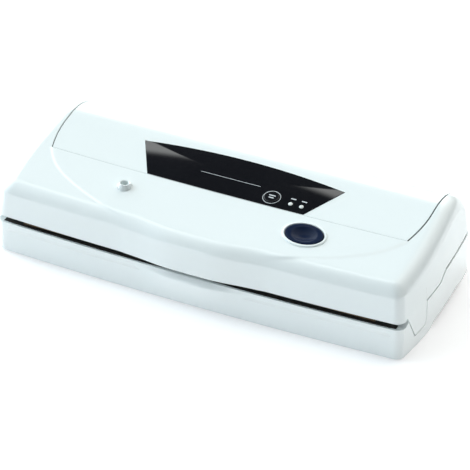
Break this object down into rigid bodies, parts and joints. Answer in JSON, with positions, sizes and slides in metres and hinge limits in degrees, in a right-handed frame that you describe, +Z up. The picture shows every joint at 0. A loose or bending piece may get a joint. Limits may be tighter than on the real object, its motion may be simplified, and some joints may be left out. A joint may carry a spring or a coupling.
{
  "type": "vacuum sealer",
  "caption": "Long low countertop vacuum sealer with a full-depth hinged lid, front bag slot, oval release button, hose port and black trapezoid control panel.",
  "frame": {"origin": "middle of the footprint, on the surface the machine stands on", "axes": "+X along the machine's length towards the release button's end, +Y from the front to the rear, +Z up"},
  "size_m": [0.373, 0.1573, 0.0807],
  "materials": {
    "casing_white": "gloss moulded ABS",
    "inner_white": "satin moulded ABS",
    "gloss_black": "high gloss back-painted panel",
    "navy": "satin moulded button",
    "lens": "frosted lens",
    "rubber_dark": "foam rubber",
    "silicone": "silicone",
    "phenolic": "heat-resistant bar",
    "tape": "coated glass cloth",
    "steel": "satin",
    "copper": "enamelled winding wire",
    "circuit_board": "solder-masked board",
    "dark_plastic": "matt nylon",
    "clear_tube": "translucent silicone tube"
  },
  "bodies": {
    "base": {"base_housing": "casing_white", "bottom_plate": "inner_white", "sealing_deck": "inner_white", "drip_tray": "inner_white", "lower_gasket": "rubber_dark", "heating_bar": "phenolic", "heating_strip": "steel", "nonstick_tape": "tape", "transformer_core": "steel", "transformer_coil_left": "copper", "transformer_coil_right": "copper", "power_board": "circuit_board", "inlet_socket": "dark_plastic", "inlet_pin_left": "steel", "inlet_pin_right": "steel", "lid_switch_body": "dark_plastic", "hinge_bracket_left": "dark_plastic", "hinge_bracket_right": "dark_plastic", "hinge_pin_left": "steel", "hinge_pin_right": "steel", "base_screw_1": "steel", "base_screw_2": "steel", "base_screw_3": "steel", "base_screw_4": "steel", "foot_front_left": "rubber_dark", "foot_front_right": "rubber_dark", "foot_rear_left": "rubber_dark", "foot_rear_right": "rubber_dark"},
    "lid": {"lid_shell": "casing_white", "rear_cover": "casing_white", "button_bezel": "casing_white", "hose_port": "casing_white", "lid_inner_panel": "inner_white", "valve_seat": "inner_white", "pump_bracket": "inner_white", "control_panel": "gloss_black", "indicator_lens_status": "lens", "indicator_lens_power": "lens", "upper_gasket": "rubber_dark", "pressure_bar": "silicone", "pump_motor": "steel", "button_spring": "steel", "lid_screw_1": "steel", "lid_screw_2": "steel", "lid_screw_3": "steel", "lid_screw_4": "steel", "control_board": "circuit_board", "pump_head": "dark_plastic", "seal_key_contact": "dark_plastic", "vacuum_tube": "clear_tube", "canister_tube": "clear_tube"},
    "release_button": {"release_button": "navy"},
    "seal_key": {"seal_key": "gloss_black"},
    "pump_crank": {"pump_crank": "inner_white"},
    "lid_switch_plunger": {"lid_switch_plunger": "lens"}
  },
  "joints": [
    {"name": "lid_hinge", "type": "hinge", "parent": "base", "child": "lid", "pos_m": [0, 0.0755, 0.0406], "axis": [-1, 0, 0], "range_deg": [0, 70]},
    {"name": "release_button_press", "type": "slide", "parent": "lid", "child": "release_button", "axis": [0, 0, -1], "range_m": [0, 0.003], "stiffness_N_per_m": 400, "deforming": ["button_spring"]},
    {"name": "seal_key_press", "type": "slide", "parent": "lid", "child": "seal_key", "axis": [0, 0.1623, -0.9867], "range_m": [0, 0.0006], "stiffness_N_per_m": 900},
    {"name": "pump_crank_spin", "type": "hinge", "parent": "lid", "child": "pump_crank", "pos_m": [0.019, 0.0427, 0.0605], "axis": [1, 0, 0], "continuous": true},
    {"name": "lid_switch_press", "type": "slide", "parent": "base", "child": "lid_switch_plunger", "axis": [0, 0, -1], "range_m": [0, 0.002], "stiffness_N_per_m": 300}
  ]
}
